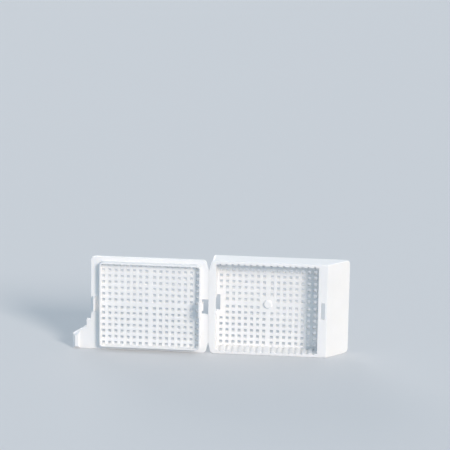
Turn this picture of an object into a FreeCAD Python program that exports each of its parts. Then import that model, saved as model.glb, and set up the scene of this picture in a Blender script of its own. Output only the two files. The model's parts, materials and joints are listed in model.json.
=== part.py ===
"""Biopsy tissue cassette, a tray and a lid moulded as one piece with a living hinge between them.

Frame: the sketches have the hinge line as their Z axis. X runs along the cassette, with the tray on
the +X side and the opened lid on the -X side. Y is the depth: the faces that meet when the lid closes
lie at Y = 0 and the tray's cavity sinks towards +Y. Z is up, and the cassette stands on its long edge
at Z = 0. The finished pieces are then moved along X and Y, so that the middle of the opened cassette
stands over the origin. Closing turns the lid by 180 degrees about +Z. All lengths are millimetres.
"""

import FreeCAD, Part
import math
import os

import Sketcher

DRIVING_SIZES = [
    # alias, value, what it is
    ("cassette_width", "28.5", "long edge to long edge, the height it stands"),
    ("tray_depth", "6.5", "mating face to the tray's back"),
    ("floor_thickness", "1.2", "perforated floor of the tray"),
    ("side_wall", "1.1", "long walls and hinge wall of the tray"),
    ("wall_draft", "1", "degrees of draft on the cavity walls"),
    ("hinge_land", "2.1", "hinge line to the cavity"),
    ("cavity_length", "30.15", "cavity, along the cassette"),
    ("front_land", "2.6", "flat land between the cavity and the writing face"),
    ("land_thickness", "1.2", "front land, over the hollow behind it"),
    ("front_wall", "0.8", "wall between the cavity and the front hollow"),
    ("label_thickness", "1.2", "slanted plate with the writing face"),
    ("label_foot", "0.3", "blunt end of that plate at the tray's back"),
    ("corner_radius", "1.2", "outer corners of tray and lid"),
    ("edge_radius", "0.2", "softened outer edges"),
    ("hole_size", "1", "side of the square holes"),
    ("hole_pitch", "1.82", "spacing of the holes both ways"),
    ("centre_bar", "0.5", "extra width of the plain bars that cross at the middle"),
    ("hole_draft", "4", "degrees of draft in the holes"),
    ("hole_border", "0.1", "solid lands reach this far past the holes they close"),
    ("nub_radius", "1.3", "round nub on the middle land"),
    ("nub_height", "0.6", "round nub on the middle land"),
    ("flute_width", "0.7", "drain flutes in the long walls"),
    ("flute_depth", "0.3", "drain flutes in the long walls"),
    ("web_thickness", "0.35", "living hinge"),
    ("groove_depth", "0.12", "shallow groove along the hinge"),
    ("groove_reach", "1.2", "half width of that groove"),
    ("web_reach", "0.35", "half width of the web at full thinness"),
    ("notch_reach", "0.8", "half width of the notch at each end of the hinge"),
    ("notch_depth", "3.4", "depth of those notches"),
    ("lid_thickness", "1.2", "lid plate"),
    ("seat_gap", "0.05", "air between lid plate and tray when closed"),
    ("fit_clearance", "0.15", "between the lid's rim and the cavity"),
    ("rim_wall", "0.4", "rim that enters the cavity"),
    ("rim_height", "1.8", "rim that enters the cavity"),
    ("rim_corner", "1", "outer corner radius of that rim"),
    ("prong_thickness", "0.7", "front latch prong"),
    ("prong_length", "4.3", "front latch prong, along the width"),
    ("prong_height", "2.3", "front latch prong"),
    ("prong_slot_gap", "0.2", "between prong and slot on every side"),
    ("tongue_length", "4.5", "rear tongue, along the width"),
    ("tongue_height", "3.4", "rear tongue above the lid plate"),
    ("barb_reach", "0.25", "lip at the tongue's tip"),
    ("barb_height", "0.8", "lip at the tongue's tip"),
    ("ledge_depth", "1.3", "ledge in the tray that the lip passes under"),
    ("recess_depth", "0.6", "recess in the hinge wall below that ledge"),
    ("rear_slot_reach", "1", "slot in the floor in front of the hinge wall"),
    ("rear_slot_gap", "0.2", "between the tongue's ends and the slot's"),
    ("window_reach", "1.55", "window in the lid, from the hinge line"),
    ("window_leg_reach", "0.45", "narrow legs of that window beside the tongue"),
    ("window_leg_height", "1.15", "narrow legs of that window"),
    ("tab_reach", "5.4", "finger tab past the end of the lid plate"),
    ("tab_height", "4.5", "outer edge of the finger tab"),
    ("tab_shoulder", "7", "height where the tab's slope meets its shoulder"),
    ("shoulder_reach", "1.3", "shoulder past the end of the lid plate"),
    ("shoulder_height", "9.2", "top of the shoulder"),
    ("pad_height", "0.7", "raised grip pad on the tab"),
    ("pad_inset", "0.25", "grip pad in from the tab's edges"),
    ("pad_reach", "2", "grip pad, along the cassette"),
    ("pad_slope", "35", "degrees of slope round the grip pad"),
]

# Lengths that follow from the driving sizes, as expressions that the features share.
MIDDLE = "Sizes.cassette_width / 2"
CAVITY_DEPTH = "(Sizes.tray_depth - Sizes.floor_thickness)"
CAVITY_END = "(Sizes.hinge_land + Sizes.cavity_length)"
CAVITY_MIDDLE = "(Sizes.hinge_land + Sizes.cavity_length / 2)"
RIM_END = "(Sizes.hinge_land + Sizes.cavity_length + Sizes.front_land)"
TRAY_END = f"({RIM_END} + Sizes.tray_depth - Sizes.label_foot)"
HOLE_HALF = "Sizes.hole_size / 2"
FIRST_HOLE = "(Sizes.hole_pitch + Sizes.centre_bar) / 2"
RIM_OFFSET = "(Sizes.fit_clearance + Sizes.rim_wall)"
HALF_ROOM_ACROSS = f"(Sizes.cavity_length / 2 - {RIM_OFFSET})"
HALF_ROOM_UP = f"({MIDDLE} - Sizes.side_wall - {RIM_OFFSET})"
COLUMNS = f"floor(({HALF_ROOM_ACROSS} - {HOLE_HALF} - {FIRST_HOLE}) / Sizes.hole_pitch + 0.001) + 1"
ROWS = f"floor(({HALF_ROOM_UP} - {HOLE_HALF} - {FIRST_HOLE}) / Sizes.hole_pitch + 0.001) + 1"
TONGUE_FACE = "(Sizes.hinge_land + Sizes.fit_clearance)"
PRONG_MIDDLE = f"({CAVITY_END} + Sizes.front_wall + Sizes.prong_slot_gap * 1.5 + Sizes.prong_thickness / 2)"
SLANT_RUN = "Sizes.label_thickness * sqrt(2)"
TAB_END = f"({RIM_END} + Sizes.tab_reach)"
TO_MIDDLE = {"x": f"({TAB_END} - {TRAY_END}) / 2", "y": "(Sizes.tongue_height - Sizes.tray_depth) / 2"}

doc = FreeCAD.newDocument("TissueCassette")
sheet = doc.addObject("Spreadsheet::Sheet", "Sizes")
for row, (alias, value, meaning) in enumerate(DRIVING_SIZES, start=1):
    sheet.set(f"A{row}", alias)
    sheet.set(f"B{row}", value)
    sheet.set(f"C{row}", meaning)
    sheet.setAlias(f"B{row}", alias)
doc.recompute()


def value_of(expression):
    """The plain number that an expression in the sheet's sizes stands for."""
    result = sheet.evalExpression(str(expression).replace("Sizes.", ""))
    return float(getattr(result, "Value", result))


def origin_plane(body, role):
    """The body's own origin plane with that role."""
    return next(item for item in body.Origin.OriginFeatures if item.Role == role)


def add_sketch(body, name, role, offset="0"):
    """A sketch on one of the body's origin planes, moved along the plane's normal by an expression."""
    sketch = body.newObject("Sketcher::SketchObject", name)
    sketch.AttachmentSupport = [(origin_plane(body, role), "")]
    sketch.MapMode = "FlatFace"
    sketch.setExpression("AttachmentOffset.Base.z", offset)
    return sketch


def bind_point(sketch, geometry, point, across, up):
    """Hold one point of the sketch at two expressions, measured from the sketch's origin."""
    for kind, expression in (("DistanceX", across), ("DistanceY", up)):
        size = value_of(expression)
        index = sketch.addConstraint(Sketcher.Constraint(kind, -1, 1, geometry, point, size))
        sketch.setExpression(f"Constraints[{index}]", expression)


def add_outline(sketch, corners):
    """A closed outline of straight lines through corners, each a pair of expressions."""
    points = [FreeCAD.Vector(value_of(across), value_of(up), 0) for across, up in corners]
    lines = [
        sketch.addGeometry(Part.LineSegment(start, end), False)
        for start, end in zip(points, points[1:] + points[:1])
    ]
    for line, following in zip(lines, lines[1:] + lines[:1]):
        sketch.addConstraint(Sketcher.Constraint("Coincident", line, 2, following, 1))
    for line, (across, up) in zip(lines, corners):
        bind_point(sketch, line, 1, across, up)


def add_box(sketch, left, right, bottom, top):
    """A rectangle between four expressions."""
    add_outline(sketch, [(left, bottom), (right, bottom), (right, top), (left, top)])


def add_circle(sketch, across, up, radius):
    """A circle whose centre and radius are expressions."""
    centre = FreeCAD.Vector(value_of(across), value_of(up), 0)
    circle = sketch.addGeometry(Part.Circle(centre, FreeCAD.Vector(0, 0, 1), value_of(radius)), False)
    bind_point(sketch, circle, 3, across, up)
    index = sketch.addConstraint(Sketcher.Constraint("Radius", circle, value_of(radius)))
    sketch.setExpression(f"Constraints[{index}]", radius)


def add_pad(body, sketch, name, length, towards_back=False, both_ways=False, draft=None):
    """Material added along the sketch's normal, or against it, or half to each side."""
    feature = body.newObject("PartDesign::Pad", name)
    feature.Profile = sketch
    feature.SideType = "Symmetric" if both_ways else "One side"
    feature.Reversed = towards_back
    feature.setExpression("Length", length)
    if draft:
        feature.setExpression("TaperAngle", draft)
    doc.recompute()
    return feature


def add_pocket(body, sketch, name, length, towards_back=True, both_ways=False, draft=None):
    """Material removed towards the back of the sketch's plane, or the other way, or to both sides."""
    before = body.Shape.Volume
    feature = body.newObject("PartDesign::Pocket", name)
    feature.Profile = sketch
    feature.SideType = "Symmetric" if both_ways else "One side"
    feature.Reversed = not towards_back
    feature.setExpression("Length", length)
    if draft:
        feature.setExpression("TaperAngle", draft)
    doc.recompute()
    if body.Shape.Volume >= before:
        raise RuntimeError(f"{name} cut nothing")
    return feature


def repeat(body, feature, name, sketch, columns, rows=None, reverse_across=False, reverse_up=False):
    """A linear pattern of one feature along the sketch's axes, at the hole pitch."""
    pattern = body.newObject("PartDesign::LinearPattern", name)
    pattern.Originals = [feature]
    pattern.Refine = False
    pattern.Direction = (sketch, ["H_Axis"])
    pattern.Mode = "Spacing"
    pattern.Reversed = reverse_across
    pattern.setExpression("Offset", "Sizes.hole_pitch")
    pattern.setExpression("Occurrences", columns)
    if rows:
        pattern.Direction2 = (sketch, ["V_Axis"])
        pattern.Mode2 = "Spacing"
        pattern.Reversed2 = reverse_up
        pattern.setExpression("Offset2", "Sizes.hole_pitch")
        pattern.setExpression("Occurrences2", rows)
        # a negative spacing stands for the common offset; the first one starts out as zero
        pattern.Spacings2 = [-1.0] * (round(value_of(rows)) - 1)
    body.Tip = pattern
    doc.recompute()
    return pattern


def soften(body, name, radius, chosen):
    """Round the edges of the body that a test picks."""
    base = body.Tip
    edges = [f"Edge{n}" for n, edge in enumerate(base.Shape.Edges, start=1) if chosen(edge)]
    if not edges:
        raise RuntimeError(f"{name} found no edge")
    feature = body.newObject("PartDesign::Fillet", name)
    feature.Base = (base, edges)
    feature.setExpression("Radius", radius)
    body.Tip = feature
    doc.recompute()
    return feature


def ends_of(edge):
    """The two end points of an edge."""
    return edge.Vertexes[0].Point, edge.Vertexes[-1].Point


def runs_along(edge, axis):
    """True for a straight edge that runs along one axis of the frame, 0, 1 or 2."""
    start, end = ends_of(edge)
    step = [abs(end[n] - start[n]) for n in range(3)]
    return step[axis] > 1e-6 and all(step[n] < 1e-6 for n in range(3) if n != axis)


def near(first, second):
    """True where two lengths are the same but for rounding."""
    return abs(first - second) < 1e-4


def hole_grid(name, side, face, depth, lands):
    """A body of square pegs, one for each hole: four quarters, each repeated away from the middle.

    side is +1 for the tray and -1 for the lid, whose holes mirror the tray's about the hinge line,
    so that the two grids line up when the lid is closed. face is the plane the pegs start from, and
    lands are rectangles that keep no pegs, each given as (left, right, bottom, top).
    """
    body = doc.addObject("PartDesign::Body", name)
    body.AllowCompound = True
    for across in (-1, 1):
        for up in (-1, 1):
            quarter = f"{name}_{'far' if across > 0 else 'near'}_{'upper' if up > 0 else 'lower'}"
            sketch = add_sketch(body, f"{quarter}_outline", "XZ_Plane", face)
            middle_x = f"({side} * {CAVITY_MIDDLE} + {side * across} * {FIRST_HOLE})"
            middle_z = f"({MIDDLE} + {up} * {FIRST_HOLE})"
            add_box(
                sketch,
                f"{middle_x} - {HOLE_HALF}",
                f"{middle_x} + {HOLE_HALF}",
                f"{middle_z} - {HOLE_HALF}",
                f"{middle_z} + {HOLE_HALF}",
            )
            peg = add_pad(body, sketch, quarter, depth, towards_back=True, draft="Sizes.hole_draft * -1")
            repeat(body, peg, f"{quarter}_repeated", sketch, COLUMNS, ROWS, side * across < 0, up < 0)
    for number, land in enumerate(lands, start=1):
        sketch = add_sketch(body, f"{name}_land_{number}_outline", "XZ_Plane", face)
        add_box(sketch, *land)
        add_pocket(body, sketch, f"{name}_land_{number}", depth)
    return body


def cut_with(shell, grid, name):
    """The finished piece: its shell with the pegs of the hole grid taken out, moved to the middle."""
    piece = doc.addObject("Part::Cut", name)
    piece.Base = shell
    piece.Tool = grid
    for axis, expression in TO_MIDDLE.items():
        piece.setExpression(f"Placement.Base.{axis}", expression)
    doc.recompute()
    return piece


def build_tray():
    """The tray: perforated floor, four walls, front land and the slanted plate for writing on."""
    body = doc.addObject("PartDesign::Body", "tray_shell")
    width = "Sizes.cassette_width"

    outline = add_sketch(body, "tray_outline", "XZ_Plane")
    add_outline(
        outline,
        [
            ("0", "Sizes.notch_depth"),
            ("Sizes.notch_reach", "0"),
            (TRAY_END, "0"),
            (TRAY_END, width),
            ("Sizes.notch_reach", width),
            ("0", f"{width} - Sizes.notch_depth"),
        ],
    )
    add_pad(body, outline, "tray_block", "Sizes.tray_depth", towards_back=True)

    tray_end = value_of(TRAY_END)
    notch_reach = value_of("Sizes.notch_reach")
    tray_width = value_of(width)
    soften(
        body,
        "tray_corners",
        "Sizes.corner_radius",
        lambda edge: runs_along(edge, 1)
        and (near(ends_of(edge)[0].z, 0) or near(ends_of(edge)[0].z, tray_width))
        and (near(ends_of(edge)[0].x, tray_end) or near(ends_of(edge)[0].x, notch_reach)),
    )

    slant = add_sketch(body, "writing_face_outline", "XY_Plane", MIDDLE)
    slant_depth = "(Sizes.tray_depth - Sizes.label_foot)"
    add_outline(slant, [(RIM_END, "0"), (TRAY_END, "0"), (TRAY_END, slant_depth)])
    add_pocket(body, slant, "writing_face", width, both_ways=True)

    relief = add_sketch(body, "tray_hinge_relief_outline", "XY_Plane", MIDDLE)
    web_back = "(Sizes.groove_depth + Sizes.web_thickness)"
    hinge_wall = "(Sizes.hinge_land - Sizes.side_wall)"
    add_outline(
        relief,
        [
            ("0", web_back),
            ("Sizes.web_reach", web_back),
            (hinge_wall, f"{web_back} + {hinge_wall} - Sizes.web_reach"),
            (hinge_wall, "Sizes.tray_depth"),
            ("0", "Sizes.tray_depth"),
        ],
    )
    add_pocket(body, relief, "tray_hinge_relief", width, both_ways=True)

    rim_end = value_of(RIM_END)
    depth = value_of("Sizes.tray_depth")
    soften(
        body,
        "tray_edges",
        "Sizes.edge_radius",
        lambda edge: all(near(point.y, 0) and point.x > notch_reach for point in ends_of(edge))
        or all(near(point.y, point.x - rim_end) for point in ends_of(edge))
        or all(near(point.y, depth) for point in ends_of(edge)),
    )

    groove = add_sketch(body, "tray_groove_outline", "XY_Plane", MIDDLE)
    add_outline(groove, [("0", "0"), ("Sizes.groove_reach", "0"), ("0", "Sizes.groove_depth")])
    add_pocket(body, groove, "tray_groove", width, both_ways=True)

    hollow = add_sketch(body, "front_hollow_outline", "XY_Plane", MIDDLE)
    hollow_start = f"({CAVITY_END} + Sizes.front_wall)"
    add_outline(
        hollow,
        [
            (hollow_start, "Sizes.land_thickness"),
            (f"{RIM_END} + Sizes.land_thickness - {SLANT_RUN}", "Sizes.land_thickness"),
            (f"{RIM_END} + Sizes.tray_depth - {SLANT_RUN}", "Sizes.tray_depth"),
            (hollow_start, "Sizes.tray_depth"),
        ],
    )
    add_pocket(body, hollow, "front_hollow", f"{width} - 2 * Sizes.side_wall", both_ways=True)

    cavity = add_sketch(body, "cavity_outline", "XZ_Plane")
    add_box(cavity, "Sizes.hinge_land", CAVITY_END, "Sizes.side_wall", f"{width} - Sizes.side_wall")
    add_pocket(body, cavity, "cavity", CAVITY_DEPTH, draft="Sizes.wall_draft * -1")

    for up, name in ((-1, "lower"), (1, "upper")):
        wall_face = f"({MIDDLE} + {up} * ({MIDDLE} - Sizes.side_wall))"
        for across, part in ((-1, "near"), (1, "far")):
            flute = add_sketch(body, f"flute_{name}_{part}_outline", "XZ_Plane")
            middle_x = f"({CAVITY_MIDDLE} + {across} * {FIRST_HOLE})"
            add_box(
                flute,
                f"{middle_x} - Sizes.flute_width / 2",
                f"{middle_x} + Sizes.flute_width / 2",
                f"{wall_face} - Sizes.flute_depth",
                f"{wall_face} + Sizes.flute_depth",
            )
            cut = add_pocket(body, flute, f"flute_{name}_{part}", CAVITY_DEPTH)
            repeat(body, cut, f"flutes_{name}_{part}", flute, COLUMNS, reverse_across=across < 0)

    back_of_floor = "Sizes.tray_depth * -1"
    nub = add_sketch(body, "nub_outline", "XZ_Plane", f"{CAVITY_DEPTH} * -1")
    add_circle(nub, CAVITY_MIDDLE, MIDDLE, "Sizes.nub_radius")
    add_pad(body, nub, "nub", "Sizes.nub_height")
    nub_top = value_of(CAVITY_DEPTH) - value_of("Sizes.nub_height")
    nub_radius = value_of("Sizes.nub_radius")
    soften(
        body,
        "nub_dome",
        "Sizes.nub_height * 0.8",
        lambda edge: len(edge.Vertexes) == 1
        and near(ends_of(edge)[0].y, nub_top)
        and near(edge.Length, 2 * math.pi * nub_radius),
    )

    recess = add_sketch(body, "rear_slot_outline", "XZ_Plane", back_of_floor)
    slot_half = "(Sizes.tongue_length / 2 + Sizes.rear_slot_gap)"
    add_box(
        recess,
        "Sizes.hinge_land - Sizes.recess_depth",
        "Sizes.hinge_land + Sizes.rear_slot_reach",
        f"{MIDDLE} - {slot_half}",
        f"{MIDDLE} + {slot_half}",
    )
    add_pocket(body, recess, "rear_slot", "Sizes.tray_depth - Sizes.ledge_depth", towards_back=False)

    slot = add_sketch(body, "front_slot_outline", "XZ_Plane")
    half_across = "(Sizes.prong_thickness / 2 + Sizes.prong_slot_gap)"
    half_up = "(Sizes.prong_length / 2 + Sizes.prong_slot_gap * 2)"
    add_box(
        slot,
        f"{PRONG_MIDDLE} - {half_across}",
        f"{PRONG_MIDDLE} + {half_across}",
        f"{MIDDLE} - {half_up}",
        f"{MIDDLE} + {half_up}",
    )
    add_pocket(body, slot, "front_slot", "Sizes.land_thickness")

    land_half = f"({FIRST_HOLE} + {HOLE_HALF} + Sizes.hole_border)"
    last_column = f"({CAVITY_MIDDLE} - {FIRST_HOLE} - ({COLUMNS} - 1) * Sizes.hole_pitch)"
    middle_land = (
        f"{CAVITY_MIDDLE} - {land_half}",
        f"{CAVITY_MIDDLE} + {land_half}",
        f"{MIDDLE} - {land_half}",
        f"{MIDDLE} + {land_half}",
    )
    rear_land = (
        "Sizes.hinge_land",
        f"{last_column} + {HOLE_HALF} + Sizes.hole_border",
        f"{MIDDLE} - {land_half} - Sizes.hole_pitch",
        f"{MIDDLE} + {land_half} + Sizes.hole_pitch",
    )
    face = f"{CAVITY_DEPTH} * -1"
    grid = hole_grid("tray_holes", 1, face, "Sizes.floor_thickness", [middle_land, rear_land])
    return cut_with(body, grid, "tray")


def build_lid():
    """The lid, opened out flat: perforated plate, rim, latch prong, rear tongue and finger tab."""
    body = doc.addObject("PartDesign::Body", "lid_shell")
    width = "Sizes.cassette_width"
    face = "Sizes.seat_gap * -1"

    outline = add_sketch(body, "lid_outline", "XZ_Plane", face)
    shoulder_end = f"-({RIM_END} + Sizes.shoulder_reach)"
    tab_end = f"-{TAB_END}"
    add_outline(
        outline,
        [
            ("0", "Sizes.notch_depth"),
            ("0", f"{width} - Sizes.notch_depth"),
            ("-Sizes.notch_reach", width),
            (f"-{RIM_END}", width),
            (f"-{RIM_END}", "Sizes.shoulder_height"),
            (shoulder_end, "Sizes.shoulder_height"),
            (shoulder_end, "Sizes.tab_shoulder"),
            (tab_end, "Sizes.tab_height"),
            (tab_end, "0"),
            ("-Sizes.notch_reach", "0"),
        ],
    )
    add_pad(body, outline, "lid_plate", "Sizes.lid_thickness", towards_back=True)
    soften(
        body,
        "lid_corners",
        "Sizes.corner_radius",
        lambda edge: is_lid_corner(edge, value_of(width), value_of("Sizes.notch_reach"), value_of(RIM_END)),
    )
    soften(
        body,
        "tab_corners",
        "Sizes.edge_radius * 2",
        lambda edge: runs_along(edge, 1) and ends_of(edge)[0].x < -value_of(RIM_END) - 0.01,
    )
    plate_front = value_of("Sizes.seat_gap")
    plate_back = plate_front + value_of("Sizes.lid_thickness")
    soften(
        body,
        "lid_edges",
        "Sizes.edge_radius",
        lambda edge: all(near(point.y, plate_front) or near(point.y, plate_back) for point in ends_of(edge))
        and near(ends_of(edge)[0].y, ends_of(edge)[1].y)
        and min(point.x for point in ends_of(edge)) < -value_of("Sizes.notch_reach"),
    )

    relief = add_sketch(body, "lid_hinge_relief_outline", "XY_Plane", MIDDLE)
    web_back = "(Sizes.groove_depth + Sizes.web_thickness)"
    plate_back_at = "(Sizes.seat_gap + Sizes.lid_thickness)"
    add_outline(
        relief,
        [
            ("0", web_back),
            ("-Sizes.web_reach", web_back),
            (f"-Sizes.web_reach - {plate_back_at} + {web_back}", plate_back_at),
            ("0", plate_back_at),
        ],
    )
    add_pocket(body, relief, "lid_hinge_relief", width, both_ways=True)
    groove = add_sketch(body, "lid_groove_outline", "XY_Plane", MIDDLE)
    add_outline(
        groove,
        [("0", "0"), ("-Sizes.groove_reach", "0"), ("-Sizes.groove_reach", "Sizes.seat_gap"),
         ("0", "Sizes.groove_depth")],
    )
    add_pocket(body, groove, "lid_groove", width, both_ways=True)

    add_rim(body, face, width)
    add_tongue(body)
    add_prong(body)
    add_grip_pad(body, face)

    window = add_sketch(body, "window_outline", "XZ_Plane", face)
    window_half = "(Sizes.tongue_length / 2 + Sizes.rear_slot_gap / 2)"
    leg_end = "-(Sizes.window_reach + Sizes.window_leg_reach)"
    add_outline(
        window,
        [
            ("0", f"{MIDDLE} - {window_half}"),
            ("0", f"{MIDDLE} + {window_half}"),
            (leg_end, f"{MIDDLE} + {window_half}"),
            (leg_end, f"{MIDDLE} + {window_half} - Sizes.window_leg_height"),
            ("-Sizes.window_reach", f"{MIDDLE} + {window_half} - Sizes.window_leg_height"),
            ("-Sizes.window_reach", f"{MIDDLE} - {window_half} + Sizes.window_leg_height"),
            (leg_end, f"{MIDDLE} - {window_half} + Sizes.window_leg_height"),
            (leg_end, f"{MIDDLE} - {window_half}"),
        ],
    )
    add_pocket(body, window, "window", "Sizes.lid_thickness")
    grid = hole_grid("lid_holes", -1, face, "Sizes.lid_thickness", [])
    return cut_with(body, grid, "lid")


def is_lid_corner(edge, width, notch_reach, plate_end):
    """The corners of the lid plate: both beside the hinge and the upper one at the far end."""
    start = ends_of(edge)[0]
    beside_hinge = near(start.x, -notch_reach) and (near(start.z, 0) or near(start.z, width))
    return runs_along(edge, 1) and (beside_hinge or (near(start.x, -plate_end) and near(start.z, width)))


def add_rim(body, face, width):
    """The upright rim that drops into the cavity, with a clearance all round."""
    rim = add_sketch(body, "rim_outline", "XZ_Plane", face)
    near_face = f"-{TONGUE_FACE}"
    far_face = f"-({CAVITY_END} - Sizes.fit_clearance)"
    low = "(Sizes.side_wall + Sizes.fit_clearance)"
    add_box(rim, far_face, near_face, low, f"{width} - {low}")
    add_pad(body, rim, "rim_block", "Sizes.rim_height + Sizes.seat_gap")
    far_x = value_of(far_face)
    near_x = value_of(near_face)
    top = -value_of("Sizes.rim_height")
    soften(
        body,
        "rim_corners",
        "Sizes.rim_corner",
        lambda edge: runs_along(edge, 1)
        and near(min(point.y for point in ends_of(edge)), top)
        and (near(ends_of(edge)[0].x, far_x) or near(ends_of(edge)[0].x, near_x)),
    )
    soften(
        body,
        "rim_edges",
        "Sizes.rim_wall / 3",
        lambda edge: all(near(point.y, top) for point in ends_of(edge)),
    )
    inside = add_sketch(body, "rim_inside_outline", "XZ_Plane", "Sizes.rim_height")
    low = f"({low} + Sizes.rim_wall)"
    add_box(inside, f"{far_face} + Sizes.rim_wall", f"{near_face} - Sizes.rim_wall", low, f"{width} - {low}")
    add_pocket(body, inside, "rim_inside", "Sizes.rim_height + Sizes.seat_gap")
    wall = value_of("Sizes.rim_wall")
    soften(
        body,
        "rim_inside_corners",
        "Sizes.rim_corner - Sizes.rim_wall",
        lambda edge: runs_along(edge, 1)
        and near(min(point.y for point in ends_of(edge)), top)
        and (near(ends_of(edge)[0].x, far_x + wall) or near(ends_of(edge)[0].x, near_x - wall)),
    )


def add_tongue(body):
    """The rear tongue, which rises from the rim beside the hinge and carries a lip at its tip."""
    sketch = add_sketch(body, "tongue_outline", "XY_Plane", MIDDLE)
    inner = f"-({TONGUE_FACE} + Sizes.rim_wall)"
    tip = "-Sizes.tongue_height"
    lip = f"-({TONGUE_FACE} - Sizes.barb_reach)"
    add_outline(
        sketch,
        [
            (inner, "Sizes.seat_gap"),
            (inner, tip),
            (f"-{TONGUE_FACE}", tip),
            (lip, f"{tip} + Sizes.barb_height / 2"),
            (lip, f"{tip} + Sizes.barb_height"),
            (f"-{TONGUE_FACE}", f"{tip} + Sizes.barb_height"),
            (f"-{TONGUE_FACE}", "Sizes.seat_gap"),
        ],
    )
    add_pad(body, sketch, "tongue", "Sizes.tongue_length", both_ways=True)


def add_prong(body):
    """The front latch prong, tapered towards its tip, which drops through the tray's front slot."""
    sketch = add_sketch(body, "prong_outline", "XY_Plane", MIDDLE)
    half = "Sizes.prong_thickness / 2"
    add_outline(
        sketch,
        [
            (f"-{PRONG_MIDDLE} - {half}", "Sizes.seat_gap"),
            (f"-{PRONG_MIDDLE} - {half}", "-Sizes.prong_height * 0.6"),
            (f"-{PRONG_MIDDLE} - {half} / 2", "-Sizes.prong_height"),
            (f"-{PRONG_MIDDLE} + {half} / 2", "-Sizes.prong_height"),
            (f"-{PRONG_MIDDLE} + {half}", "-Sizes.prong_height * 0.6"),
            (f"-{PRONG_MIDDLE} + {half}", "Sizes.seat_gap"),
        ],
    )
    add_pad(body, sketch, "prong", "Sizes.prong_length", both_ways=True)


def add_grip_pad(body, face):
    """The raised pad on the finger tab, with sloping sides."""
    sketch = add_sketch(body, "grip_pad_outline", "XZ_Plane", face)
    outer = f"-({TAB_END} - Sizes.pad_inset)"
    slope = "(Sizes.tab_shoulder - Sizes.tab_height) / (Sizes.tab_reach - Sizes.shoulder_reach)"
    low_top = "Sizes.tab_height - Sizes.pad_inset"
    add_outline(
        sketch,
        [
            (outer, "Sizes.pad_inset"),
            (f"{outer} + Sizes.pad_reach", "Sizes.pad_inset"),
            (f"{outer} + Sizes.pad_reach", f"{low_top} + Sizes.pad_reach * {slope}"),
            (outer, low_top),
        ],
    )
    add_pad(body, sketch, "grip_pad", "Sizes.pad_height", draft="Sizes.pad_slope * -1")


pieces = [build_tray(), build_lid()]
doc.recompute()

for item in doc.Objects:
    if "Invalid" in item.State or "Error" in item.State:
        raise RuntimeError(f"{item.Name} failed: {item.State}")
os.makedirs("parts", exist_ok=True)
for piece in pieces:
    shape = piece.Shape
    if shape.isNull() or not shape.isValid():
        raise RuntimeError(f"{piece.Label} has no valid shape")
    shape.exportStep(os.path.join("parts", f"{piece.Label}.step"))
    print(piece.Label, "volume", round(shape.Volume, 1), "solids", len(shape.Solids), "faces", len(shape.Faces))
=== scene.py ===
"""Looks of an opened tissue cassette: a white acetal tray and lid, the thin hinge skin that joins them,
a plain pale floor and soft studio light. Lengths are metres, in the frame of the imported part.
"""

import json
import logging
import math
from dataclasses import dataclass
from enum import Enum

import bmesh
import bpy
from mathutils import Matrix, Vector


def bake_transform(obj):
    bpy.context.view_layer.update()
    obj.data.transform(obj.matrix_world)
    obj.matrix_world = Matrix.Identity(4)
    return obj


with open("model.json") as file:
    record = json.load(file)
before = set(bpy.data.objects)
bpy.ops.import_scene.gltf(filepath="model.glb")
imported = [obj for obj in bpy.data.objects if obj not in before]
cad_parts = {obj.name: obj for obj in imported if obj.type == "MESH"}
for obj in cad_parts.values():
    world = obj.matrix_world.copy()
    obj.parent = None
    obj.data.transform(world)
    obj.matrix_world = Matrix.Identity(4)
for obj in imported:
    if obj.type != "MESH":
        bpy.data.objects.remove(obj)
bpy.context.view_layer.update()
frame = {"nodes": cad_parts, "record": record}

MM = 0.001
SAME_PLACE = 1e-9
ROUND_PROFILE = 0.5
WHITE = (1.0, 1.0, 1.0, 1.0)
LOG = logging.getLogger("tissue_cassette")

Colour = tuple[float, float, float]
Triple = tuple[float, float, float]
Span = tuple[float, float]
Tree = bpy.types.ShaderNodeTree
Socket = bpy.types.NodeSocket


class Moulding(Enum):
    """The two halves of the moulding, by the name of their body."""

    TRAY = "tray"
    LID = "lid"


class Texture(Enum):
    """How a mould face was finished, as the depth of its grain in metres."""

    POLISHED = 0.004 * MM
    SATIN = 0.010 * MM


def hinge_point() -> Vector:
    """A point on the hinge line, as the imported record's joint gives it."""
    joint = next(item for item in frame["record"]["behaviour"]["joints"] if item["name"] == "lid_hinge")
    return Vector(joint["pos_m"])


def new_group(name: str, inputs: dict[str, tuple[str, object]], outputs: dict[str, str]) -> Tree:
    """Start a shader node group with named sockets.

    Args:
        name: name of the group.
        inputs: socket name to its short type and default value.
        outputs: socket name to its short type.

    Returns:
        The node tree, with its Group Input and Group Output nodes in place.
    """
    tree = bpy.data.node_groups.new(name, "ShaderNodeTree")
    for label, (kind, value) in inputs.items():
        socket = tree.interface.new_socket(label, in_out="INPUT", socket_type=f"NodeSocket{kind}")
        socket.default_value = value
    for label, kind in outputs.items():
        tree.interface.new_socket(label, in_out="OUTPUT", socket_type=f"NodeSocket{kind}")
    tree.nodes.new("NodeGroupInput").name = "In"
    tree.nodes.new("NodeGroupOutput").name = "Out"
    return tree


def feed(tree: Tree, target: Socket, value: object) -> None:
    """Give an input what it works with.

    Args:
        tree: the node tree that the input is in.
        target: the input.
        value: a socket to link it to, a plain number, or a colour, which is made opaque.
    """
    if isinstance(value, Socket):
        tree.links.new(value, target)
    elif isinstance(value, tuple):
        target.default_value = (*value, 1.0)
    else:
        target.default_value = value


def add_math(tree: Tree, operation: str, first: object, second: object) -> Socket:
    """Put a Math node between two values.

    Args:
        tree: the node tree to build in.
        operation: the Math node's operation.
        first: a socket or a plain number.
        second: a socket or a plain number.

    Returns:
        The result socket.
    """
    node = tree.nodes.new("ShaderNodeMath")
    node.operation = operation
    for socket, value in zip(node.inputs, (first, second)):
        feed(tree, socket, value)
    return node.outputs[0]


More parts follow.
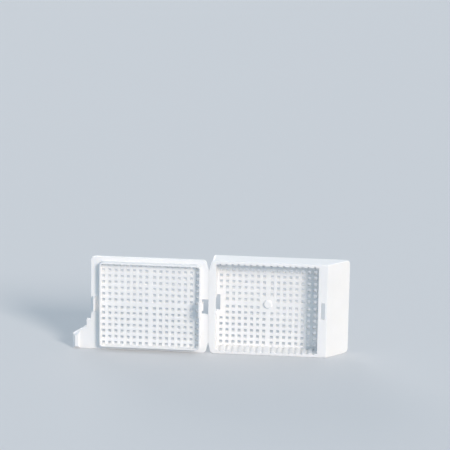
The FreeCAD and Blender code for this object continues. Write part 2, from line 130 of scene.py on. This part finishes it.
def add_dot(tree: Tree, first: Socket, second: Socket | Vector) -> Socket:
    """Put a node in a tree that tells how far two directions agree.

    Args:
        tree: the node tree to build in.
        first: the first direction.
        second: the second direction, as a socket or plain.

    Returns:
        A socket that is 1 where they are the same.
    """
    node = tree.nodes.new("ShaderNodeVectorMath")
    node.operation = "DOT_PRODUCT"
    feed(tree, node.inputs[0], first)
    feed(tree, node.inputs[1], second)
    return node.outputs["Value"]


def add_mix(tree: Tree, factor: Socket, first: object, second: object, blend: str = "MIX") -> Socket:
    """Put a node in a tree that mixes two colours.

    Args:
        tree: the node tree to build in.
        factor: how much of the second colour there is.
        first: a socket or a plain colour.
        second: a socket or a plain colour.
        blend: how the second colour goes onto the first.

    Returns:
        The result socket.
    """
    node = tree.nodes.new("ShaderNodeMix")
    node.data_type = "RGBA"
    node.blend_type = blend
    for label, value in (("Factor", factor), ("A", first), ("B", second)):
        feed(tree, node.inputs[label], value)
    return node.outputs["Result"]


def add_noise(tree: Tree, where: Socket, scale: object, detail: float) -> Socket:
    """Put a Noise Texture node in a tree.

    Args:
        tree: the node tree to build in.
        where: the coordinate socket.
        scale: a socket or a plain number.
        detail: how many octaves of detail.

    Returns:
        The noise value socket, near 0.5 on average.
    """
    node = tree.nodes.new("ShaderNodeTexNoise")
    for label, value in (("Vector", where), ("Scale", scale), ("Detail", detail)):
        feed(tree, node.inputs[label], value)
    return node.outputs["Fac"]


def add_range(tree: Tree, value: Socket, span: Span, results: Span) -> Socket:
    """Put a Map Range node after a value.

    Args:
        tree: the node tree to build in.
        value: the socket to map.
        span: where the value's range starts and ends.
        results: the results at the start and at the end.

    Returns:
        The result socket.
    """
    node = tree.nodes.new("ShaderNodeMapRange")
    feed(tree, node.inputs["Value"], value)
    for label, number in zip(("From Min", "From Max", "To Min", "To Max"), (*span, *results)):
        node.inputs[label].default_value = number
    return node.outputs["Result"]


def add_seen(tree: Tree) -> Socket:
    """Tell whether a surface is being looked at, directly, in a reflection or through glass.

    Args:
        tree: the node tree to build in.

    Returns:
        A socket that is 1 where it is looked at and 0 where it only lights others.
    """
    path = tree.nodes.new("ShaderNodeLightPath")
    seen = add_math(tree, "MAXIMUM", path.outputs["Is Camera Ray"], path.outputs["Is Glossy Ray"])
    return add_math(tree, "MAXIMUM", seen, path.outputs["Is Transmission Ray"])


@dataclass(frozen=True)
class MouldedSkin:
    """The group for an acetal skin: cloudy tone, faint flow lines, fine grain and dust specks.

    Where its input Sparked is 1, the skin is the coarser, duller one of a face that takes writing, and its
    colour is darkened as painted shade that tones down the strong light falling on that face.
    """

    cloud_scale: float = 160.0
    cloud_detail: float = 3.0
    cloud_span: Span = (0.35, 0.70)
    flow_scale: float = 420.0
    flow_detail: float = 2.0
    flow_stretch: Triple = (0.22, 1.0, 1.0)
    flow_slant: float = math.radians(12.0)
    flow_span: Span = (0.56, 0.74)
    flow_amount: float = 0.35
    flow_height: float = 0.6
    speck_scale: float = 620.0
    speck_span: Span = (0.035, 0.075)
    speck_amount: float = 0.30
    grain_scale: float = 5200.0
    grain_detail: float = 4.0
    roughness_spread: float = 0.06
    spread_gain: float = 4.0
    sparked_dullness: float = 0.22
    pit_coarseness: float = 0.45
    pit_detail: float = 5.0
    pit_height: float = 2.2

    def build(self) -> Tree:
        """Make the group.

        Returns:
            The group, with outputs Color, Roughness and Height.
        """
        tree = new_group(
            "moulded_skin",
            {
                "Vector": ("Vector", (0.0, 0.0, 0.0)),
                "Tone": ("Color", WHITE),
                "Cloud Tone": ("Color", WHITE),
                "Cloud Scale": ("Float", self.cloud_scale),
                "Grain Scale": ("Float", self.grain_scale),
                "Flow Scale": ("Float", self.flow_scale),
                "Roughness": ("Float", 0.5),
                "Roughness Spread": ("Float", self.roughness_spread),
                "Sparked": ("Float", 0.0),
                "Writing Face Shade": ("Color", WHITE),
            },
            {"Color": "Color", "Roughness": "Float", "Height": "Float"},
        )
        given, result = tree.nodes["In"].outputs, tree.nodes["Out"].inputs
        cloud = add_noise(tree, given["Vector"], given["Cloud Scale"], self.cloud_detail)
        flow = self._flow(tree, given)
        tree.links.new(self._colour(tree, given, cloud, flow), result["Color"])
        tree.links.new(self._roughness(tree, given, cloud), result["Roughness"])
        tree.links.new(self._height(tree, given, flow), result["Height"])
        return tree

    def _flow(self, tree: Tree, given: bpy.types.NodeOutputs) -> Socket:
        """Draw out a noise along the way that the plastic flowed.

        Args:
            tree: the group's node tree.
            given: the group's inputs.

        Returns:
            The noise value socket.
        """
        stretch = tree.nodes.new("ShaderNodeMapping")
        stretch.inputs["Scale"].default_value = self.flow_stretch
        stretch.inputs["Rotation"].default_value = (0.0, self.flow_slant, 0.0)
        tree.links.new(given["Vector"], stretch.inputs["Vector"])
        return add_noise(tree, stretch.outputs["Vector"], given["Flow Scale"], self.flow_detail)

    def _colour(self, tree: Tree, given: bpy.types.NodeOutputs, cloud: Socket, flow: Socket) -> Socket:
        """Mix the tone with its clouds, flow lines and specks, and darken it where it is sparked, as painted
        shade against the strong light on the writing face.

        Args:
            tree: the group's node tree.
            given: the group's inputs.
            cloud: the noise of the clouds.
            flow: the noise of the flow lines.

        Returns:
            The colour socket.
        """
        clouds = add_range(tree, cloud, self.cloud_span, (0.0, 1.0))
        lines = add_range(tree, flow, self.flow_span, (0.0, self.flow_amount))
        cells = tree.nodes.new("ShaderNodeTexVoronoi")
        cells.inputs["Scale"].default_value = self.speck_scale
        tree.links.new(given["Vector"], cells.inputs["Vector"])
        specks = add_range(tree, cells.outputs["Distance"], self.speck_span, (self.speck_amount, 0.0))
        amount = add_math(tree, "MAXIMUM", add_math(tree, "MAXIMUM", clouds, lines), specks)
        mottled = add_mix(tree, amount, given["Tone"], given["Cloud Tone"])
        # painted shade: the writing face is darkened to tone down the strong light that falls on it
        return add_mix(tree, given["Sparked"], mottled, given["Writing Face Shade"], "MULTIPLY")

    def _roughness(self, tree: Tree, given: bpy.types.NodeOutputs, cloud: Socket) -> Socket:
        """Vary the roughness with the clouds, and raise it where the skin is sparked.

        Args:
            tree: the group's node tree.
            given: the group's inputs.
            cloud: the noise of the clouds.

        Returns:
            The roughness socket.
        """
        centred = add_math(tree, "SUBTRACT", cloud, 0.5)
        spread = add_math(tree, "MULTIPLY", centred, given["Roughness Spread"])
        spread = add_math(tree, "MULTIPLY", spread, self.spread_gain)
        uneven = add_math(tree, "ADD", given["Roughness"], spread)
        dull = add_math(tree, "MULTIPLY", given["Sparked"], self.sparked_dullness)
        return add_math(tree, "ADD", uneven, dull)

    def _height(self, tree: Tree, given: bpy.types.NodeOutputs, flow: Socket) -> Socket:
        """Raise the fine grain and the flow lines, and pit the skin where it is sparked.

        Args:
            tree: the group's node tree.
            given: the group's inputs.
            flow: the noise of the flow lines.

        Returns:
            The height socket.
        """
        grain = add_noise(tree, given["Vector"], given["Grain Scale"], self.grain_detail)
        lines = add_math(tree, "MULTIPLY", flow, self.flow_height)
        pit_scale = add_math(tree, "MULTIPLY", given["Grain Scale"], self.pit_coarseness)
        pits = add_noise(tree, given["Vector"], pit_scale, self.pit_detail)
        sparked = add_math(tree, "MULTIPLY", pits, given["Sparked"])
        pitted = add_math(tree, "MULTIPLY", sparked, self.pit_height)
        return add_math(tree, "ADD", add_math(tree, "ADD", grain, lines), pitted)


@dataclass(frozen=True)
class SoftEdges:
    """The group that rounds edges in the shading and marks them for a painted highlight."""

    radius: float = 0.07 * MM
    samples: int = 6
    gain: float = 1.6

    def build(self) -> Tree:
        """Make the group.

        Returns:
            The group, with outputs Normal and Edge, which is 1 on an edge and 0 away from it and masks the
            painted edge highlight.
        """
        tree = new_group(
            "soft_edges", {"Edge Gain": ("Float", self.gain)}, {"Normal": "Vector", "Edge": "Float"}
        )
        given, result = tree.nodes["In"].outputs, tree.nodes["Out"].inputs
        bevel = tree.nodes.new("ShaderNodeBevel")
        bevel.samples = self.samples
        bevel.inputs["Radius"].default_value = self.radius
        flat = tree.nodes.new("ShaderNodeNewGeometry")
        alike = add_dot(tree, bevel.outputs["Normal"], flat.outputs["Normal"])
        away = add_math(tree, "SUBTRACT", 1.0, alike)
        marked = add_math(tree, "MULTIPLY", away, given["Edge Gain"])
        tree.links.new(bevel.outputs["Normal"], result["Normal"])
        tree.links.new(add_range(tree, marked, (0.0, 1.0), (0.0, 1.0)), result["Edge"])
        return tree


@dataclass(frozen=True)
class Acetal:
    """White moulded acetal: satin, slightly waxy, with light that seeps a little into thin walls."""

    name: str
    tone: Colour = (0.90, 0.905, 0.91)
    cloud_tone: Colour = (0.875, 0.88, 0.882)
    # painted highlight: edges are coloured lighter than the body tone
    edge_highlight_tone: Colour = (0.94, 0.943, 0.945)
    # painted shade on the slanted writing face, darker to offset the strong key light on it
    writing_face_shade_tint: Colour = (0.945, 0.94, 0.925)
    roughness: float = 0.42
    refraction: float = 1.48
    texture: Texture = Texture.SATIN
    texture_strength: float = 0.5
    seep: float = 0.35
    seep_depth: float = 0.8 * MM
    seep_reach: Colour = (1.0, 0.95, 0.85)
    sparked_towards: Vector | None = None
    sparked_span: Span = (0.990, 0.998)

    def build(self, skin: Tree, edges: Tree) -> bpy.types.Material:
        """Make the material.

        Args:
            skin: the moulded_skin group.
            edges: the soft_edges group.

        Returns:
            The material, with its shader fed by both groups.
        """
        material = bpy.data.materials.new(self.name)
        material.use_nodes = True
        tree = material.node_tree
        shader = tree.nodes["Principled BSDF"]
        shader.inputs["IOR"].default_value = self.refraction
        shader.inputs["Subsurface Weight"].default_value = self.seep
        shader.inputs["Subsurface Radius"].default_value = self.seep_reach
        shader.inputs["Subsurface Scale"].default_value = self.seep_depth

        surface = self._surface(tree, skin)
        rounded = tree.nodes.new("ShaderNodeGroup")
        rounded.node_tree = edges
        # painted highlight: the edge mask lightens the colour along every edge
        colour = add_mix(tree, rounded.outputs["Edge"], surface.outputs["Color"], self.edge_highlight_tone)
        tree.links.new(colour, shader.inputs["Base Color"])
        tree.links.new(surface.outputs["Roughness"], shader.inputs["Roughness"])

        bump = tree.nodes.new("ShaderNodeBump")
        bump.inputs["Strength"].default_value = self.texture_strength
        bump.inputs["Distance"].default_value = self.texture.value
        tree.links.new(surface.outputs["Height"], bump.inputs["Height"])
        tree.links.new(rounded.outputs["Normal"], bump.inputs["Normal"])
        tree.links.new(bump.outputs["Normal"], shader.inputs["Normal"])
        return material

    def _surface(self, tree: Tree, skin: Tree) -> bpy.types.ShaderNodeGroup:
        """Place the skin's group with this finish's values.

        Args:
            tree: the material's node tree.
            skin: the moulded_skin group.

        Returns:
            The group's node.
        """
        surface = tree.nodes.new("ShaderNodeGroup")
        surface.node_tree = skin
        for label, value in (
            ("Tone", self.tone),
            ("Cloud Tone", self.cloud_tone),
            ("Roughness", self.roughness),
            ("Writing Face Shade", self.writing_face_shade_tint),
        ):
            feed(tree, surface.inputs[label], value)
        where = tree.nodes.new("ShaderNodeTexCoord")
        tree.links.new(where.outputs["Object"], surface.inputs["Vector"])
        if self.sparked_towards is not None:
            geometry = tree.nodes.new("ShaderNodeNewGeometry")
            alike = add_dot(tree, geometry.outputs["True Normal"], self.sparked_towards)
            tree.links.new(add_range(tree, alike, self.sparked_span, (0.0, 1.0)), surface.inputs["Sparked"])
        return surface


@dataclass(frozen=True)
class PaleFloor:
    """A plain, pale, matte floor, the same all over, that looks a little lighter than it lights."""

    tone: Colour = (0.56, 0.59, 0.62)
    uneven_tone: Colour = (0.10, 0.17, 0.22)
    unevenness: float = 0.01
    uneven_scale: float = 14.0
    uneven_detail: float = 2.0
    lift_tone: Colour = (1.0, 0.90, 0.82)
    lift: float = 0.12
    roughness: float = 0.9
    shine: float = 0.1

    def build(self) -> bpy.types.Material:
        """Make the material, with a faint unevenness so that it isn't a flat tone.

        Returns:
            The material.
        """
        material = bpy.data.materials.new("pale_floor")
        material.use_nodes = True
        tree = material.node_tree
        shader = tree.nodes["Principled BSDF"]
        shader.inputs["Roughness"].default_value = self.roughness
        shader.inputs["Specular IOR Level"].default_value = self.shine
        where = tree.nodes.new("ShaderNodeTexCoord")
        noise = add_noise(tree, where.outputs["Object"], self.uneven_scale, self.uneven_detail)
        amount = add_math(tree, "MULTIPLY", noise, self.unevenness)
        colour = add_mix(tree, amount, self.tone, self.uneven_tone)
        tree.links.new(colour, shader.inputs["Base Color"])
        glow = tree.nodes.new("ShaderNodeEmission")
        feed(tree, glow.inputs["Color"], self.lift_tone)
        tree.links.new(add_math(tree, "MULTIPLY", add_seen(tree), self.lift), glow.inputs["Strength"])
        both = tree.nodes.new("ShaderNodeAddShader")
        tree.links.new(shader.outputs["BSDF"], both.inputs[0])
        tree.links.new(glow.outputs["Emission"], both.inputs[1])
        tree.links.new(both.outputs["Shader"], tree.nodes["Material Output"].inputs["Surface"])
        return material


@dataclass
class HingeSkin:
    """The thin living hinge: two strips, one above and one below the window."""

    material: bpy.types.Material
    reach: float = 0.42 * MM
    inner_depth: float = 0.135 * MM
    outer_depth: float = 0.455 * MM
    lower_span: Span = (3.5 * MM, 11.8 * MM)
    upper_span: Span = (16.7 * MM, 25.0 * MM)
    steps: int = 24
    edge_radius: float = 0.05 * MM
    edge_steps: int = 2

    def build(self) -> list[bpy.types.Object]:
        """Make both strips.

        Returns:
            The two strips.
        """
        return [
            self._strip("hinge_skin_lower", self.lower_span),
            self._strip("hinge_skin_upper", self.upper_span),
        ]

    def _strip(self, name: str, span: Span) -> bpy.types.Object:
        """Make one strip.

        Args:
            name: the piece's name.
            span: the heights of its lower and upper end.

        Returns:
            The strip.
        """
        hinge = hinge_point()
        mesh = self._mesh(name, span, hinge)
        mesh.materials.append(self.material)
        strip = bpy.data.objects.new(name, mesh)
        bpy.context.scene.collection.objects.link(strip)
        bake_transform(strip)
        return strip

    def _mesh(self, name: str, span: Span, hinge: Vector) -> bpy.types.Mesh:
        """Build a strip's mesh from rings across the hinge line, with its long edges rounded.

        Args:
            name: the mesh's name.
            span: the heights of its lower and upper end.
            hinge: a point on the hinge line.

        Returns:
            The mesh, smooth all over.
        """
        low, high = span
        section = [
            (self.inner_depth, low),
            (self.outer_depth, low),
            (self.outer_depth, high),
            (self.inner_depth, high),
        ]
        made = bmesh.new()
        rings = []
        for step in range(self.steps + 1):
            across = hinge.x + self.reach * (1.0 - 2.0 * step / self.steps)
            rings.append([made.verts.new((across, hinge.y + depth, height)) for depth, height in section])
        for ring, following in zip(rings, rings[1:]):
            for n in range(4):
                made.faces.new((ring[n], ring[(n + 1) % 4], following[(n + 1) % 4], following[n]))
        made.faces.new(rings[0][::-1])
        made.faces.new(rings[-1])
        bmesh.ops.recalc_face_normals(made, faces=made.faces)
        long_edges = [
            edge
            for edge in made.edges
            if abs(edge.verts[0].co.y - edge.verts[1].co.y) < SAME_PLACE
            and abs(edge.verts[0].co.z - edge.verts[1].co.z) < SAME_PLACE
        ]
        bmesh.ops.bevel(
            made,
            geom=long_edges,
            offset=self.edge_radius,
            segments=self.edge_steps,
            profile=ROUND_PROFILE,
            affect="EDGES",
            clamp_overlap=True,
        )
        mesh = bpy.data.meshes.new(name)
        made.to_mesh(mesh)
        made.free()
        mesh.shade_smooth()
        return mesh


@dataclass
class Cassette:
    """The tray and the lid, dressed in their finishes, with the hinge skin between them."""

    skin: Tree
    edges: Tree
    hinge_roughness: float = 0.36
    slant: float = 0.4

    def build(self) -> list[bpy.types.Object]:
        """Dress both mouldings and add the hinge skin.

        Returns:
            Every piece of the cassette.
        """
        pieces = [self._dress(half) for half in Moulding]
        web = Acetal("hinge_acetal", roughness=self.hinge_roughness, texture=Texture.POLISHED)
        pieces.extend(HingeSkin(web.build(self.skin, self.edges)).build())
        return pieces

    def _dress(self, half: Moulding) -> bpy.types.Object:
        """Give one moulding its finish.

        Args:
            half: the tray or the lid.

        Returns:
            The moulding's object.
        """
        node = frame["nodes"][half.value]
        writing = self._writing_direction(node) if half is Moulding.TRAY else None
        material = Acetal(f"{half.value}_acetal", sparked_towards=writing).build(self.skin, self.edges)
        node.data.materials.clear()
        node.data.materials.append(material)
        return node

    def _writing_direction(self, node: bpy.types.Object) -> Vector:
        """Tell which way the slanted writing face looks: out of the mouth and away from the hinge.

        Args:
            node: the tray.

        Returns:
            The direction, one long.
        """
        slanted = [
            face for face in node.data.polygons if face.normal.x > self.slant and face.normal.y < -self.slant
        ]
        return max(slanted, key=lambda face: face.area).normal.copy()


@dataclass(frozen=True)
class Lamp:
    """A soft, even lamp: the direction it shines from, and how wide it looks in degrees."""

    name: str
    towards: Triple
    spread: float
    strength: float
    tone: Colour

    def hang(self) -> None:
        """Put the lamp in the scene."""
        light = bpy.data.lights.new(self.name, "SUN")
        light.angle = math.radians(self.spread)
        light.energy = self.strength
        light.color = self.tone
        lamp = bpy.data.objects.new(self.name, light)
        lamp.location = self.towards
        lamp.rotation_euler = (-Vector(self.towards)).to_track_quat("-Z", "Y").to_euler()
        bpy.context.scene.collection.objects.link(lamp)


@dataclass(frozen=True)
class ProductCamera:
    """A long lens in front, a little to the right and above, as a product is usually shot.

    The lens, the sensor and the camera's place are in millimetres.
    """

    lens: float = 199.84
    sensor_width: float = 36.0
    place: Triple = (60.27, -699.57, 235.11)
    right: Triple = (0.9964, 0.0841, 0.0143)
    forward: Triple = (-0.0772, 0.9601, -0.2690)
    nearest: float = 0.05
    farthest: float = 20.0

    def build(self) -> None:
        """Make the camera and shoot with it."""
        camera_data = bpy.data.cameras.new("camera")
        camera_data.lens = self.lens
        camera_data.sensor_width = self.sensor_width
        camera_data.clip_start = self.nearest
        camera_data.clip_end = self.farthest
        camera = bpy.data.objects.new("camera", camera_data)
        forward = Vector(self.forward).normalized()
        up = Vector(self.right).normalized().cross(forward).normalized()
        turn = Matrix((forward.cross(up), up, -forward)).transposed().to_4x4()
        camera.matrix_world = Matrix.Translation(Vector(self.place) * MM) @ turn
        bpy.context.scene.collection.objects.link(camera)
        bpy.context.scene.camera = camera


@dataclass
class Studio:
    """Floor, lamps, world and camera. The floor lies just under the long edge that stands on it."""

    floor_reach: float = 3.0
    floor_drop: float = 0.02 * MM
    key: Lamp = Lamp("key", (0.60, -0.72, 0.43), spread=18.0, strength=2.36, tone=(1.0, 0.87, 0.775))
    back: Lamp = Lamp("back", (-0.40, 0.88, 0.20), spread=36.0, strength=1.10, tone=(1.0, 0.91, 0.84))
    sky_strength: float = 0.61
    sky_tone: Colour = (0.64, 0.83, 1.0)
    camera: ProductCamera = ProductCamera()

    def build(self) -> None:
        """Make the whole studio."""
        self._floor()
        for lamp in (self.key, self.back):
            lamp.hang()
        self._world()
        self.camera.build()

    def _floor(self) -> None:
        """Lay a large plain square under the cassette."""
        mesh = bpy.data.meshes.new("floor")
        made = bmesh.new()
        bmesh.ops.create_grid(made, x_segments=1, y_segments=1, size=self.floor_reach)
        made.to_mesh(mesh)
        made.free()
        floor = bpy.data.objects.new("floor", mesh)
        floor.location.z = -self.floor_drop
        bpy.context.scene.collection.objects.link(floor)
        mesh.materials.append(PaleFloor().build())

    def _world(self) -> None:
        """Make an even sky that lights softly and looks white."""
        world = bpy.data.worlds.new("sky")
        world.use_nodes = True
        bpy.context.scene.world = world
        tree = world.node_tree
        background = tree.nodes["Background"]
        feed(tree, background.inputs["Color"], self.sky_tone)
        background.inputs["Strength"].default_value = self.sky_strength
        white = tree.nodes.new("ShaderNodeBackground")
        white.inputs["Color"].default_value = WHITE
        mix = tree.nodes.new("ShaderNodeMixShader")
        tree.links.new(add_seen(tree), mix.inputs["Fac"])
        tree.links.new(background.outputs["Background"], mix.inputs[1])
        tree.links.new(white.outputs["Background"], mix.inputs[2])
        tree.links.new(mix.outputs["Shader"], tree.nodes["World Output"].inputs["Surface"])


def main() -> None:
    """Build the cassette and its studio, and report each piece."""
    logging.basicConfig(level=logging.INFO, format="%(name)s: %(message)s")
    bpy.context.scene.view_settings.view_transform = "Standard"
    cassette = Cassette(MouldedSkin().build(), SoftEdges().build())
    for piece in cassette.build():
        LOG.info("%s has %d faces", piece.name, len(piece.data.polygons))
    Studio().build()


if __name__ == "__main__":
    main()
